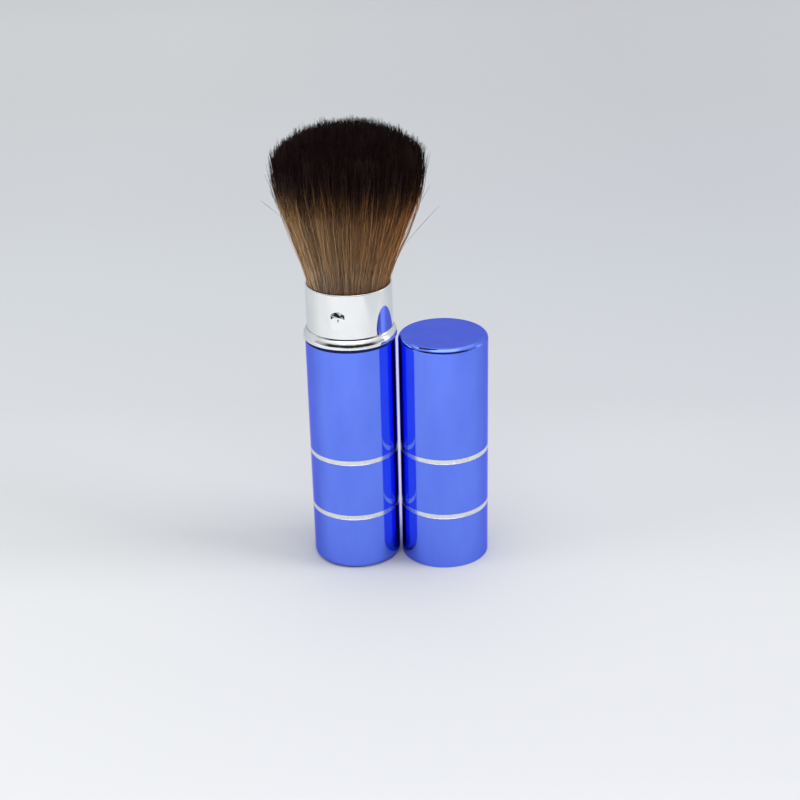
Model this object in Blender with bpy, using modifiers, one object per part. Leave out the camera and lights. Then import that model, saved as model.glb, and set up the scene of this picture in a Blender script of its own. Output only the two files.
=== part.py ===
"""A retractable makeup brush, open, with its cap standing beside it.

Units are metres and +Z is up. The origin is the centre of the handle's base, on the surface that the
brush and the cap stand on. The handle, the sleeve and the bristles share the Z axis. The sleeve is shown
down, with the bristles out, and it slides up along +Z to cover them.
"""
import math
import random

import bmesh
import bpy
from mathutils import Vector, geometry

# Blue tubes of the handle and the cap, drawn from one stock
TUBE_RADIUS = 0.0101
TUBE_WALL = 0.00030
TUBE_END = 0.0005
TUBE_END_ROUND = 0.0012
TUBE_LIP_ROUND = 0.00010
HANDLE_HEIGHT = 0.0544
CAP_HEADROOM = 0.00725
CAP_GAP = 0.00045
CAP_STAND_Y = -0.00050

# Bright bands cut through the blue finish, at the same heights on both tubes
BAND_WIDTH = 0.00109
BAND_DEPTH = 0.00012
BAND_EDGE = 0.00010
LOWER_BAND_Z = 0.01333
UPPER_BAND_Z = 0.02722

# Neck of the handle tube and the collar pressed over it
NECK_RISE = 0.0017
NECK_WALL = 0.00020
NECK_TAPER = 0.0006
NECK_CLEARANCE = 0.00010
SHOULDER_ROUND = 0.00050
PRESS_GAP = 0.00008
SEAT_GAP = 0.00010
COLLAR_HEIGHT = 0.0025
COLLAR_WALL = 0.00013
COLLAR_BEAD_RADIUS = 0.0022
COLLAR_BEAD_STAND = 0.00040
COLLAR_FOOT_SHARE = 0.06
COLLAR_CREST_SHARE = 0.22
COLLAR_BEAD_STEPS = 9

# Sliding sleeve
SLEEVE_CLEARANCE = 0.00020
SLEEVE_WALL = 0.00030
SLEEVE_SHOWN = 0.01015
SLEEVE_FLOOR_GAP = 0.0011
SLEEVE_ROLL = 0.0007

# Dimples pressed into the sleeve, whose lower slope rests on the ferrule's rim
DIMPLE_COUNT = 3
DIMPLE_BELOW_RIM = 0.00530
DIMPLE_WIDTH = 0.0034
DIMPLE_HEIGHT = 0.0028
DIMPLE_DEPTH = 0.00050
DIMPLE_BEARING = math.radians(-102.5)
DIMPLE_CREST_SHARE = 0.42

# Bush in the sleeve's foot
FOOT_HEIGHT = 0.0033
FOOT_CHAMFER = 0.0005
RUNNING_CLEARANCE = 0.00025

# Base plug and core post
PLUG_HEIGHT = 0.0033
PLUG_CHAMFER = 0.0006
SOCKET_RADIUS = 0.0031
SOCKET_FLOOR = 0.0008
POST_RADIUS = 0.0042
POST_HEAD_HEIGHT = 0.0040
POST_HEAD_CLEARANCE = 0.00035
POST_HEAD_CHAMFER = 0.0004
TENON_HEIGHT = 0.0035

# Rubber ring in a groove of the post's head
RING_SECTION_RADIUS = 0.00052
RING_CLEARANCE = 0.00005

# Ferrule, glue, thread and the straight part of the bundle
FERRULE_CLEARANCE = 0.00030
FERRULE_WALL = 0.00030
FERRULE_LENGTH = 0.00925
FERRULE_REST_GAP = 0.0002
RESIN_HEIGHT = 0.0024
BACKING_HEIGHT = 0.0015
BUNDLE_CLEARANCE = 0.00058
THREAD_RADIUS = 0.00014
THREAD_TURNS = 3

# Bristle head, measured up from the sleeve's rim
MOUTH_CLEARANCE = 0.00028
HEAD_RADIUS = 0.0161
HEAD_SHOULDER_RISE = 0.0230
HEAD_DOME_RISE = 0.0136
HEAD_LEAN = 0.0015
TIP_RAGGEDNESS = 0.0005
FLARE_RISE_SHARE = 0.93
FLARE_SOFTNESS_SHARE = 0.10
DOME_ROUND_EXPONENT = 1.65
DOME_RISE_EXPONENT = 3.6
STRAND_COUNT = 300
STRAND_SIDES = 3
STRAND_RADIUS_SHARE = 0.60
STRAND_RING_SHARES = (0.0, 0.42, 0.86)

# Faceting
TUBE_SEGMENTS = 48
INNER_SEGMENTS = 32
SECTION_SEGMENTS = 6
ARC_STEPS = 4
DIMPLE_CUTS = 4
MERGE_DISTANCE = 0.000001
SHARP_ANGLE = math.radians(35)

# Sizes that follow from the ones above: radii, from the outside in
tube_bore = TUBE_RADIUS - TUBE_WALL
sleeve_radius = tube_bore - SLEEVE_CLEARANCE
sleeve_bore = sleeve_radius - SLEEVE_WALL
neck_bore = sleeve_radius + NECK_CLEARANCE
neck_radius = neck_bore + NECK_WALL
collar_bore = neck_radius + PRESS_GAP
collar_wall_radius = collar_bore + COLLAR_WALL
collar_bead_radius = TUBE_RADIUS + COLLAR_BEAD_STAND
shoulder_step = TUBE_RADIUS - neck_radius
shoulder_round = max(SHOULDER_ROUND, shoulder_step)
ferrule_radius = sleeve_bore - FERRULE_CLEARANCE
ferrule_bore = ferrule_radius - FERRULE_WALL
post_head_radius = sleeve_bore - POST_HEAD_CLEARANCE
tenon_radius = ferrule_bore - PRESS_GAP
bundle_radius = ferrule_bore - BUNDLE_CLEARANCE
mouth_radius = sleeve_bore - MOUTH_CLEARANCE

# Heights, from the base up and then from the sleeve's rim down
neck_top = HANDLE_HEIGHT + NECK_RISE
collar_bottom = HANDLE_HEIGHT + SEAT_GAP
collar_top = collar_bottom + COLLAR_HEIGHT
collar_foot_top = collar_bottom + COLLAR_HEIGHT * COLLAR_FOOT_SHARE
collar_crest = collar_bottom + COLLAR_HEIGHT * COLLAR_CREST_SHARE
rim_z = collar_top + SLEEVE_SHOWN
dimple_z = rim_z - DIMPLE_BELOW_RIM
plug_bottom = TUBE_END + SEAT_GAP
plug_top = plug_bottom + PLUG_HEIGHT
sleeve_bottom = plug_top + SLEEVE_FLOOR_GAP
foot_bottom = sleeve_bottom + SLEEVE_WALL + SEAT_GAP
foot_top = foot_bottom + FOOT_HEIGHT
ferrule_top = dimple_z - DIMPLE_HEIGHT / 2 - FERRULE_REST_GAP
ferrule_bottom = ferrule_top - FERRULE_LENGTH
post_head_top = ferrule_bottom - SEAT_GAP
post_head_bottom = post_head_top - POST_HEAD_HEIGHT
tenon_top = post_head_top + TENON_HEIGHT
resin_bottom = tenon_top + SEAT_GAP
resin_top = resin_bottom + RESIN_HEIGHT
backing_bottom = resin_top + SEAT_GAP
backing_top = backing_bottom + BACKING_HEIGHT

# The cap covers the bristles when it stands on the collar, and stands beside the handle here
cap_height = SLEEVE_SHOWN + HEAD_SHOULDER_RISE + HEAD_DOME_RISE + CAP_HEADROOM + TUBE_END
cap_stand_x = 2 * TUBE_RADIUS + CAP_GAP


def clear_scene():
    """Remove every object that the file holds."""
    for obj in list(bpy.data.objects):
        bpy.data.objects.remove(obj, do_unlink=True)


def make_material(name, colour, metallic, roughness):
    """A Principled material with one colour."""
    material = bpy.data.materials.new(name)
    material.use_nodes = True
    shader = material.node_tree.nodes["Principled BSDF"]
    shader.inputs["Base Color"].default_value = (*colour, 1.0)
    shader.inputs["Metallic"].default_value = metallic
    shader.inputs["Roughness"].default_value = roughness
    material.diffuse_color = (*colour, 1.0)
    return material


def arc(centre_r, centre_z, radius, start, end, steps=ARC_STEPS):
    """Profile points along an arc, both ends included. Angles are in degrees from the +r direction."""
    points = []
    for i in range(steps + 1):
        angle = math.radians(start + (end - start) * i / steps)
        points.append((centre_r + radius * math.cos(angle), centre_z + radius * math.sin(angle)))
    return points


def smooth(obj):
    """Shade an object's mesh smooth, and keep its corners sharp."""
    obj.data.shade_smooth()
    obj.data.set_sharp_from_angle(angle=SHARP_ANGLE)


def turned(name, profile, segments, collection, material, closed=False):
    """Turn a profile of (radius, height) points about Z. Its outer side runs from top to bottom."""
    mesh = bpy.data.meshes.new(name)
    edges = [(i, i + 1) for i in range(len(profile) - 1)]
    if closed:
        edges.append((len(profile) - 1, 0))
    mesh.from_pydata([(r, 0, z) for r, z in profile], edges, [])
    obj = bpy.data.objects.new(name, mesh)
    collection.objects.link(obj)
    screw = obj.modifiers.new("Turn", "SCREW")
    screw.steps = segments
    screw.render_steps = segments
    screw.use_merge_vertices = True
    screw.merge_threshold = MERGE_DISTANCE
    bpy.context.view_layer.update()
    evaluated = obj.evaluated_get(bpy.context.evaluated_depsgraph_get())
    obj.data = bpy.data.meshes.new_from_object(evaluated)
    obj.modifiers.clear()
    bpy.data.meshes.remove(mesh)
    obj.data.name = name
    obj.data.materials.append(material)
    smooth(obj)
    return obj


def band_profile(centre_z):
    """One band's shallow groove on a tube's outer side, from top to bottom."""
    top = centre_z + BAND_WIDTH / 2
    bottom = centre_z - BAND_WIDTH / 2
    floor = TUBE_RADIUS - BAND_DEPTH
    return [
        (TUBE_RADIUS, top),
        (floor, top - BAND_EDGE),
        (floor, bottom + BAND_EDGE),
        (TUBE_RADIUS, bottom),
    ]


def handle_shell(collection, material):
    """The handle's tube: closed below, drawn in to a neck above."""
    inner_round = TUBE_END_ROUND - TUBE_WALL
    shoulder_turn = math.acos(1 - shoulder_step / shoulder_round)
    shoulder_z = HANDLE_HEIGHT - shoulder_round * math.sin(shoulder_turn)
    profile = [(0, TUBE_END)]
    profile += arc(tube_bore - inner_round, TUBE_END + inner_round, inner_round, -90, 0, 2)
    profile += [
        (tube_bore, HANDLE_HEIGHT - NECK_TAPER),
        (neck_bore, HANDLE_HEIGHT),
        (neck_bore, neck_top),
        (neck_radius, neck_top),
    ]
    profile += arc(TUBE_RADIUS - shoulder_round, shoulder_z, shoulder_round, math.degrees(shoulder_turn), 0, 3)
    profile += band_profile(UPPER_BAND_Z)
    profile += band_profile(LOWER_BAND_Z)
    profile += arc(TUBE_RADIUS - TUBE_END_ROUND, TUBE_END_ROUND, TUBE_END_ROUND, 0, -90)
    profile.append((0, 0))
    return turned("handle_shell", profile, TUBE_SEGMENTS, collection, material)


def cap_shell(collection, material):
    """The cap's tube, mouth down and closed end up."""
    inner_round = TUBE_END_ROUND - TUBE_WALL
    inner_top = cap_height - TUBE_END
    profile = [(0, cap_height)]
    profile += arc(TUBE_RADIUS - TUBE_END_ROUND, cap_height - TUBE_END_ROUND, TUBE_END_ROUND, 90, 0)
    profile += band_profile(UPPER_BAND_Z)
    profile += band_profile(LOWER_BAND_Z)
    profile += arc(TUBE_RADIUS - TUBE_LIP_ROUND, TUBE_LIP_ROUND, TUBE_LIP_ROUND, 0, -90, 1)
    profile += arc(tube_bore + TUBE_LIP_ROUND, TUBE_LIP_ROUND, TUBE_LIP_ROUND, -90, -180, 1)
    profile += arc(tube_bore - inner_round, inner_top - inner_round, inner_round, 0, 90, 2)
    profile.append((0, inner_top))
    return turned("cap_shell", profile, TUBE_SEGMENTS, collection, material)


def collar(collection, material):
    """The ring over the neck: a short straight foot, one full bead, and a lip turned in over the neck."""
    bead_centre_r = collar_bead_radius - COLLAR_BEAD_RADIUS
    lip_radius = neck_bore + TUBE_LIP_ROUND
    top_turn = math.acos((lip_radius - bead_centre_r) / COLLAR_BEAD_RADIUS)
    foot_turn = math.acos((collar_wall_radius - bead_centre_r) / COLLAR_BEAD_RADIUS)
    lip_underside = neck_top + SEAT_GAP
    profile = []
    for i in range(COLLAR_BEAD_STEPS + 1):
        turn = top_turn - (top_turn + foot_turn) * i / COLLAR_BEAD_STEPS
        if turn > 0:
            rise = (collar_top - collar_crest) * math.sin(turn) / math.sin(top_turn)
        else:
            rise = (collar_crest - collar_foot_top) * math.sin(turn) / math.sin(foot_turn)
        profile.append((bead_centre_r + COLLAR_BEAD_RADIUS * math.cos(turn), collar_crest + rise))
    profile += [
        (collar_wall_radius, collar_bottom),
        (collar_bore, collar_bottom),
        (collar_bore, lip_underside),
        (neck_bore, lip_underside),
        (neck_bore, collar_top - TUBE_LIP_ROUND),
    ]
    return turned("collar", profile, TUBE_SEGMENTS, collection, material, closed=True)


def press_dimples(obj):
    """Press the dimples into the sleeve's wall, inside and outside alike.

    The faces round each dimple are divided first. A dimple is steep above its crest and slopes gently
    below it.
    """
    half_width = DIMPLE_WIDTH / 2
    half_height = DIMPLE_HEIGHT / 2
    half_turn = half_width / sleeve_radius
    crest = dimple_z + half_height * DIMPLE_CREST_SHARE
    step = math.tau / TUBE_SEGMENTS
    bearings = [DIMPLE_BEARING + math.tau * i / DIMPLE_COUNT for i in range(DIMPLE_COUNT)]

    def turn_from(point, bearing):
        angle = math.atan2(point.y, point.x) - bearing
        return (angle + math.pi) % math.tau - math.pi

    work = bmesh.new()
    work.from_mesh(obj.data)
    near = []
    for face in work.faces:
        middle = face.calc_center_median()
        if abs(middle.z - dimple_z) > half_height:
            continue
        if any(abs(turn_from(middle, bearing)) < half_turn + step / 2 for bearing in bearings):
            near.append(face)
    edges = list({edge for face in near for edge in face.edges})
    bmesh.ops.subdivide_edges(work, edges=edges, cuts=DIMPLE_CUTS, use_grid_fill=True)
    for vert in work.verts:
        radius = math.hypot(vert.co.x, vert.co.y)
        slope_height = dimple_z + half_height - crest if vert.co.z > crest else crest - dimple_z + half_height
        rise = (vert.co.z - crest) / slope_height
        for bearing in bearings:
            side = turn_from(vert.co, bearing) / half_turn
            if abs(side) >= 1 or abs(rise) >= 1:
                continue
            pressed = DIMPLE_DEPTH * (1 - side * side) * (1 - rise * rise)
            scale = (radius - pressed) / radius
            vert.co.x *= scale
            vert.co.y *= scale
    work.to_mesh(obj.data)
    work.free()
    smooth(obj)


def sliding_sleeve(collection, material):
    """The bright tube over the bristles' root, rolled in at its foot to hold the bush."""
    half_wall = SLEEVE_WALL / 2
    half_height = DIMPLE_HEIGHT / 2
    profile = arc(sleeve_radius - half_wall, rim_z - half_wall, half_wall, 90, 0, 2)
    profile += [
        (sleeve_radius, dimple_z + half_height),
        (sleeve_radius, dimple_z - half_height),
    ]
    profile += arc(sleeve_radius - SLEEVE_WALL, sleeve_bottom + SLEEVE_WALL, SLEEVE_WALL, 0, -90, 2)
    profile += [
        (sleeve_bore - SLEEVE_ROLL, sleeve_bottom),
        (sleeve_bore - SLEEVE_ROLL, sleeve_bottom + SLEEVE_WALL),
        (sleeve_bore, sleeve_bottom + SLEEVE_WALL),
        (sleeve_bore, dimple_z - half_height),
        (sleeve_bore, dimple_z + half_height),
    ]
    profile += arc(sleeve_radius - half_wall, rim_z - half_wall, half_wall, 180, 135, 1)
    obj = turned("sliding_sleeve", profile, TUBE_SEGMENTS, collection, material, closed=True)
    press_dimples(obj)
    return obj


def sleeve_foot(collection, material):
    """The bush that the sleeve's rolled end holds, running on the post."""
    outer = sleeve_bore - PRESS_GAP
    bore = POST_RADIUS + RUNNING_CLEARANCE
    profile = [
        (outer - FOOT_CHAMFER, foot_top),
        (outer, foot_top - FOOT_CHAMFER),
        (outer, foot_bottom),
        (bore + FOOT_CHAMFER, foot_bottom),
        (bore, foot_bottom + FOOT_CHAMFER),
        (bore, foot_top - FOOT_CHAMFER),
        (bore + FOOT_CHAMFER, foot_top),
    ]
    return turned("sleeve_foot", profile, INNER_SEGMENTS, collection, material, closed=True)


def base_plug(collection, material):
    """The plug in the bottom of the handle, with the post's socket."""
    outer = tube_bore - SEAT_GAP
    socket_bottom = plug_bottom + SOCKET_FLOOR
    profile = [
        (SOCKET_RADIUS, plug_top),
        (outer - PLUG_CHAMFER, plug_top),
        (outer, plug_top - PLUG_CHAMFER),
        (outer, plug_bottom + PLUG_CHAMFER),
        (outer - PLUG_CHAMFER, plug_bottom),
        (0, plug_bottom),
    ]
    profile = [(0, socket_bottom), (SOCKET_RADIUS, socket_bottom)] + profile
    return turned("base_plug", profile, INNER_SEGMENTS, collection, material)


def core_post(collection, material):
    """The post: a spigot in the plug, a shaft, a head with the ring's groove, and the ferrule's tenon."""
    spigot_radius = SOCKET_RADIUS - SEAT_GAP
    spigot_bottom = plug_bottom + SOCKET_FLOOR + SEAT_GAP
    shaft_bottom = plug_top + SEAT_GAP
    groove_half = RING_SECTION_RADIUS + SEAT_GAP
    groove_z = (post_head_top + post_head_bottom) / 2
    groove_radius = sleeve_bore - RING_CLEARANCE - 2 * RING_SECTION_RADIUS - RING_CLEARANCE
    profile = [
        (0, tenon_top),
        (tenon_radius - POST_HEAD_CHAMFER, tenon_top),
        (tenon_radius, tenon_top - POST_HEAD_CHAMFER),
        (tenon_radius, post_head_top),
        (post_head_radius, post_head_top),
        (post_head_radius, groove_z + groove_half),
        (groove_radius, groove_z + groove_half),
        (groove_radius, groove_z - groove_half),
        (post_head_radius, groove_z - groove_half),
        (post_head_radius, post_head_bottom + POST_HEAD_CHAMFER),
        (post_head_radius - POST_HEAD_CHAMFER, post_head_bottom),
        (POST_RADIUS, post_head_bottom),
        (POST_RADIUS, shaft_bottom),
        (spigot_radius, shaft_bottom),
        (spigot_radius, spigot_bottom),
        (0, spigot_bottom),
    ]
    return turned("core_post", profile, INNER_SEGMENTS, collection, material)


def friction_ring(collection, material):
    """The rubber ring in the groove of the post's head."""
    centre_r = sleeve_bore - RING_CLEARANCE - RING_SECTION_RADIUS
    centre_z = (post_head_top + post_head_bottom) / 2
    profile = arc(centre_r, centre_z, RING_SECTION_RADIUS, 90, -270, SECTION_SEGMENTS)[:-1]
    return turned("friction_ring", profile, INNER_SEGMENTS, collection, material, closed=True)


def ferrule(collection, material):
    """The thin tube round the bristles' root, on the post's tenon."""
    half_wall = FERRULE_WALL / 2
    profile = arc(ferrule_radius - half_wall, ferrule_top - half_wall, half_wall, 90, 0, 2)
    profile += [
        (ferrule_radius, ferrule_bottom),
        (ferrule_bore, ferrule_bottom),
    ]
    profile += arc(ferrule_radius - half_wall, ferrule_top - half_wall, half_wall, 180, 135, 1)
    return turned("ferrule", profile, INNER_SEGMENTS, collection, material, closed=True)


def resin_plug(collection, material):
    """The set glue between the post's tenon and the bristles' backing."""
    radius = ferrule_bore - PRESS_GAP
    profile = [(0, resin_top), (radius, resin_top), (radius, resin_bottom), (0, resin_bottom)]
    return turned("resin_plug", profile, INNER_SEGMENTS, collection, material)


def binding_thread(collection, material):
    """The thread's turns round the bundle, side by side in one band just above the backing."""
    centre_r = ferrule_bore - THREAD_RADIUS - PRESS_GAP
    bottom = backing_top + SEAT_GAP
    outer = []
    inner = []
    for turn in range(THREAD_TURNS):
        centre_z = bottom + THREAD_RADIUS * (2 * turn + 1)
        outer = arc(centre_r, centre_z, THREAD_RADIUS, 60, -60, 2) + outer
        inner += arc(centre_r, centre_z, THREAD_RADIUS, 180, 180, 1)[:1]
    return turned("binding_thread", outer + inner, INNER_SEGMENTS, collection, material, closed=True)


def head_radius_at(height):
    """The bundle's outer radius at a height: straight in the sleeve, flared above its rim, then level."""
    if height <= rim_z:
        share = (height - backing_top) / (rim_z - backing_top)
        return bundle_radius + (mouth_radius - bundle_radius) * share
    above = (height - rim_z) / (HEAD_SHOULDER_RISE * FLARE_RISE_SHARE)
    turned_in = math.hypot(above - 1, FLARE_SOFTNESS_SHARE) - math.hypot(1, FLARE_SOFTNESS_SHARE)
    return mouth_radius + (HEAD_RADIUS - mouth_radius) * (above - turned_in) / 2


def strand_section(spread, bearing, height, twist):
    """One strand's corners at a height.

    spread is the strand's distance from the axis as a share of the bundle's radius. Every strand follows
    the same spreading field, so none crosses another.
    """
    outer = head_radius_at(height)
    radius = STRAND_RADIUS_SHARE * outer / math.sqrt(STRAND_COUNT)
    lean = HEAD_LEAN * max(height - rim_z, 0) / (HEAD_SHOULDER_RISE + HEAD_DOME_RISE)
    centre = Vector((math.cos(bearing), math.sin(bearing), 0)) * spread * (outer - radius)
    centre += Vector((lean, 0, height))
    corners = []
    for i in range(STRAND_SIDES):
        angle = twist + math.tau * i / STRAND_SIDES
        corners.append(centre + Vector((math.cos(angle), math.sin(angle), 0)) * radius)
    return centre, corners


def bristles(collection, material):
    """The bristle head: strands in a sunflower pattern, grown from a slice of their backing."""
    seeded = random.Random(7)
    golden_turn = math.pi * (3 - math.sqrt(5))
    strands = []
    for i in range(STRAND_COUNT):
        spread = math.sqrt((i + 0.5) / STRAND_COUNT)
        dome = (1 - spread ** DOME_ROUND_EXPONENT) ** (1 / DOME_RISE_EXPONENT)
        tip = rim_z + HEAD_SHOULDER_RISE + HEAD_DOME_RISE * dome - TIP_RAGGEDNESS * seeded.random()
        strands.append((spread, i * golden_turn, tip, seeded.random() * math.tau))

    outline_radius = ferrule_bore - PRESS_GAP
    outline = []
    for i in range(INNER_SEGMENTS):
        angle = math.tau * i / INNER_SEGMENTS
        outline.append(Vector((math.cos(angle), math.sin(angle))) * outline_radius)
    points = list(outline)
    faces = [list(range(INNER_SEGMENTS))]
    for spread, bearing, tip, twist in strands:
        corners = strand_section(spread, bearing, backing_top, twist)[1]
        faces.append(list(range(len(points), len(points) + STRAND_SIDES)))
        points += [corner.xy for corner in corners]
    flat = geometry.delaunay_2d_cdt(points, [], faces, 1, MERGE_DISTANCE)

    work = bmesh.new()
    verts = [work.verts.new((point.x, point.y, backing_top)) for point in flat[0]]
    feet = {}
    sheet = []
    for corners, sources in zip(flat[2], flat[5]):
        face = work.faces.new([verts[i] for i in corners])
        sheet.append(face)
        for source in sources:
            if source > 0:
                feet[source - 1] = face
    below = bmesh.ops.extrude_face_region(work, geom=sheet, use_keep_orig=True)["geom"]
    below_verts = [item for item in below if isinstance(item, bmesh.types.BMVert)]
    below_faces = [item for item in below if isinstance(item, bmesh.types.BMFace)]
    bmesh.ops.translate(work, verts=below_verts, vec=(0, 0, -BACKING_HEIGHT))
    bmesh.ops.dissolve_faces(work, faces=below_faces, use_verts=True)

    for i, (spread, bearing, tip, twist) in enumerate(strands):
        face = feet[i]
        ring = list(face.verts)
        places = strand_section(spread, bearing, backing_top, twist)[1]
        order = [min(range(STRAND_SIDES), key=lambda j: (places[j] - vert.co).length) for vert in ring]
        for share in STRAND_RING_SHARES:
            height = rim_z + (tip - rim_z) * share
            corners = strand_section(spread, bearing, height, twist)[1]
            face = bmesh.ops.extrude_discrete_faces(work, faces=[face])["faces"][0]
            for vert, old in zip(face.verts, order):
                vert.co = corners[old]
        point = bmesh.ops.poke(work, faces=[face])["verts"][0]
        point.co = strand_section(spread, bearing, tip, twist)[0]
    bmesh.ops.recalc_face_normals(work, faces=list(work.faces))

    mesh = bpy.data.meshes.new("bristles")
    work.to_mesh(mesh)
    work.free()
    mesh.materials.append(material)
    obj = bpy.data.objects.new("bristles", mesh)
    collection.objects.link(obj)
    return obj


def main():
    clear_scene()
    collection = bpy.data.collections.new("retractable_makeup_brush")
    bpy.context.scene.collection.children.link(collection)

    blue = (0.020, 0.030, 0.700)
    bright = (0.880, 0.890, 0.900)
    handle_shell(collection, make_material("handle_blue", blue, 1.0, 0.22))
    collar(collection, make_material("collar_bright", bright, 1.0, 0.08))
    base_plug(collection, make_material("plug_plastic", (0.75, 0.75, 0.73), 0.0, 0.45))
    core_post(collection, make_material("post_plastic", (0.80, 0.80, 0.78), 0.0, 0.40))
    friction_ring(collection, make_material("ring_rubber", (0.02, 0.02, 0.02), 0.0, 0.70))
    ferrule(collection, make_material("ferrule_metal", (0.80, 0.80, 0.80), 1.0, 0.25))
    resin_plug(collection, make_material("resin", (0.55, 0.45, 0.25), 0.0, 0.30))
    binding_thread(collection, make_material("thread", (0.70, 0.66, 0.58), 0.0, 0.80))
    bristles(collection, make_material("bristle_hair", (0.120, 0.060, 0.030), 0.0, 0.55))
    sliding_sleeve(collection, make_material("sleeve_bright", bright, 1.0, 0.08))
    sleeve_foot(collection, make_material("foot_plastic", (0.78, 0.78, 0.76), 0.0, 0.42))

    stand = bpy.data.objects.new("cap_stand", None)
    stand.location = (cap_stand_x, CAP_STAND_Y, 0)
    collection.objects.link(stand)
    cap = cap_shell(collection, make_material("cap_blue", blue, 1.0, 0.22))
    cap.parent = stand


main()
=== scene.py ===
"""The looks of the retractable makeup brush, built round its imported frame.

Metres, +Z up. The handle, the sleeve and the bristles share the Z axis, and the cap stands beside them.
"""
import math

import bpy
import numpy as np
from mathutils import Matrix, Vector


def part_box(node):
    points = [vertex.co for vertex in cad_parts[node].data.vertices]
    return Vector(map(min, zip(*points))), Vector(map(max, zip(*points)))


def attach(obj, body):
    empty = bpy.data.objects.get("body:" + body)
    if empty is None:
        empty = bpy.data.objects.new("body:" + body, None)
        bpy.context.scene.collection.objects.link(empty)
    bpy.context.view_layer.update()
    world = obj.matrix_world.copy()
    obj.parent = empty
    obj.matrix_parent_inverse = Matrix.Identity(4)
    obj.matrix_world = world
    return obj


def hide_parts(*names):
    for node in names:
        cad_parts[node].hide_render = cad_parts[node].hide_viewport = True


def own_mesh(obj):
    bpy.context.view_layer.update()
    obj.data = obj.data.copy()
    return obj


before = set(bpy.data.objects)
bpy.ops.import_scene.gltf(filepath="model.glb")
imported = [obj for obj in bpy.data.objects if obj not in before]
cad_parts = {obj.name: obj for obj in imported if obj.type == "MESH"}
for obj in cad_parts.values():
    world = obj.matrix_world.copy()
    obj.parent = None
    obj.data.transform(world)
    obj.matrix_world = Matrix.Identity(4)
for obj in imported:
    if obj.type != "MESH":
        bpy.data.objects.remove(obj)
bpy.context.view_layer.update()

# Places and sizes read from the frame
_, handle_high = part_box("handle_shell")
cap_low, cap_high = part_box("cap_shell")
collar_low, collar_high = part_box("collar")
sleeve_low, sleeve_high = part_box("sliding_sleeve")
_, bristle_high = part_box("bristles")
TUBE_RADIUS = handle_high.x
NECK_TOP = handle_high.z
COLLAR_BOTTOM = collar_low.z
COLLAR_TOP = collar_high.z
COLLAR_RADIUS = collar_high.x
SLEEVE_RADIUS = sleeve_high.x
SLEEVE_BOTTOM = sleeve_low.z
RIM_Z = sleeve_high.z
CAP_HEIGHT = cap_high.z
CAP_CENTRE = (cap_low + cap_high) / 2
BRISTLE_TOP = bristle_high.z

# Sizes of the metal parts
TUBE_WALL = 0.00030
TUBE_END = 0.0005
TUBE_END_ROUND = 0.0012
TUBE_LIP_ROUND = 0.00010
SHOULDER_ROUND = 0.00055
HANDLE_HEIGHT = 0.0544
NECK_BORE = SLEEVE_RADIUS + 0.00010
NECK_RADIUS = NECK_BORE + 0.00020
NECK_TAPER = 0.0006
BAND_WIDTH = 0.00109
BAND_DEPTH = 0.00012
BAND_EDGE = 0.00006
LOWER_BAND_Z = 0.01333
UPPER_BAND_Z = 0.02722
COLLAR_BORE = NECK_RADIUS + 0.00008
COLLAR_BEAD_RADIUS = 0.00225
COLLAR_BEAD_Z = COLLAR_BOTTOM + 0.00050
COLLAR_BEAD_TOP_TURN = 47.5
COLLAR_BEAD_FOOT_TURN = 4
COLLAR_LIP_BORE = SLEEVE_RADIUS + 0.00005
COLLAR_LIP_EDGE = 0.00002
SLEEVE_WALL = 0.0003
RIM_ROLL_RADIUS = 0.00025
SLEEVE_ROLL = 0.0007

# Dimples in the sleeve
DIMPLE_COUNT = 3
DIMPLE_TOP_BELOW_RIM = 0.00385
DIMPLE_HEIGHT = 0.0040
DIMPLE_WIDTH = 0.0031
DIMPLE_DEPTH = 0.00020
DIMPLE_BEARING = math.radians(-103.9)
DIMPLE_ARCH_DROP = 0.00066
DIMPLE_LIP_HEIGHT = 0.00136
DIMPLE_LIP_NARROWING = 0.22
DIMPLE_CRACK_SIDE = 0.10
DIMPLE_CRACK_START = 0.00035
DIMPLE_CRACK_END = 0.00105
DIMPLE_SIDE_EXPONENT = 0.6
DIMPLE_STEEP_EXPONENT = 1.4
DIMPLE_FADE_EXPONENT = 1.2
DIMPLE_ROWS = 50

# The bristle head's form, measured up from the sleeve's rim
BUNDLE_RADIUS = 0.0080
MOUTH_RADIUS = 0.0090
HEAD_RADIUS = 0.0158
FLARE_RISE = 0.0211
FLARE_SOFTNESS = 0.10
FLARE_EXPONENT = 1.13
HEAD_SHOULDER_RISE = 0.0229
HEAD_DOME_RISE = 0.0128
HEAD_LEAN = 0.0011
DOME_ROUND_EXPONENT = 1.15
DOME_RISE_EXPONENT = 4.5
TIP_OVERSHOOT = 0.0012
ROOT_Z = 0.0590

# Hairs
HAIR_COUNT = 15000
HAIR_RADIUS = 0.000050
HAIR_SIDES = 3
SHELL_SHARE = 0.26
SHELL_SPREAD = 0.90
STATION_SHARES = (0.0, 0.18, 0.38, 0.58, 0.76, 0.90, 1.0)
TAPER_SHARES = (1.0, 1.0, 1.0, 1.0, 1.0, 1.0, 0.90, 0.35)
TUFT_COUNT = 760
TUFT_START_SHARE = 0.66
TUFT_BODY_PULL = 0.12
TUFT_PULL = 0.93
TUFT_POINT = 0.00085
TUFT_RAGGEDNESS = 0.00050
TIP_RAGGEDNESS = 0.00030
WAVE_SIZE = 0.00040
CROSSING = 0.00080
FLYAWAY_SPREAD = 0.85
FLYAWAY_SHARE = 0.24
FLYAWAY_REACH = 0.0016
BOWED_SHARE = 0.030
BOWED_REACH = 0.0016
SECTORS = 24
RANDOM_SEED = 11
BEARING_JITTER = 0.02
TUFT_JITTER = 0.012
MOST_OFF_MIDDLE = 1.5
TUFT_CLOSING_EXPONENT = 1.2
FEWEST_WAVES = 1.2
MORE_WAVES = 1.6
THINNEST_SHARE = 0.8
THICKER_SHARE = 0.4

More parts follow.
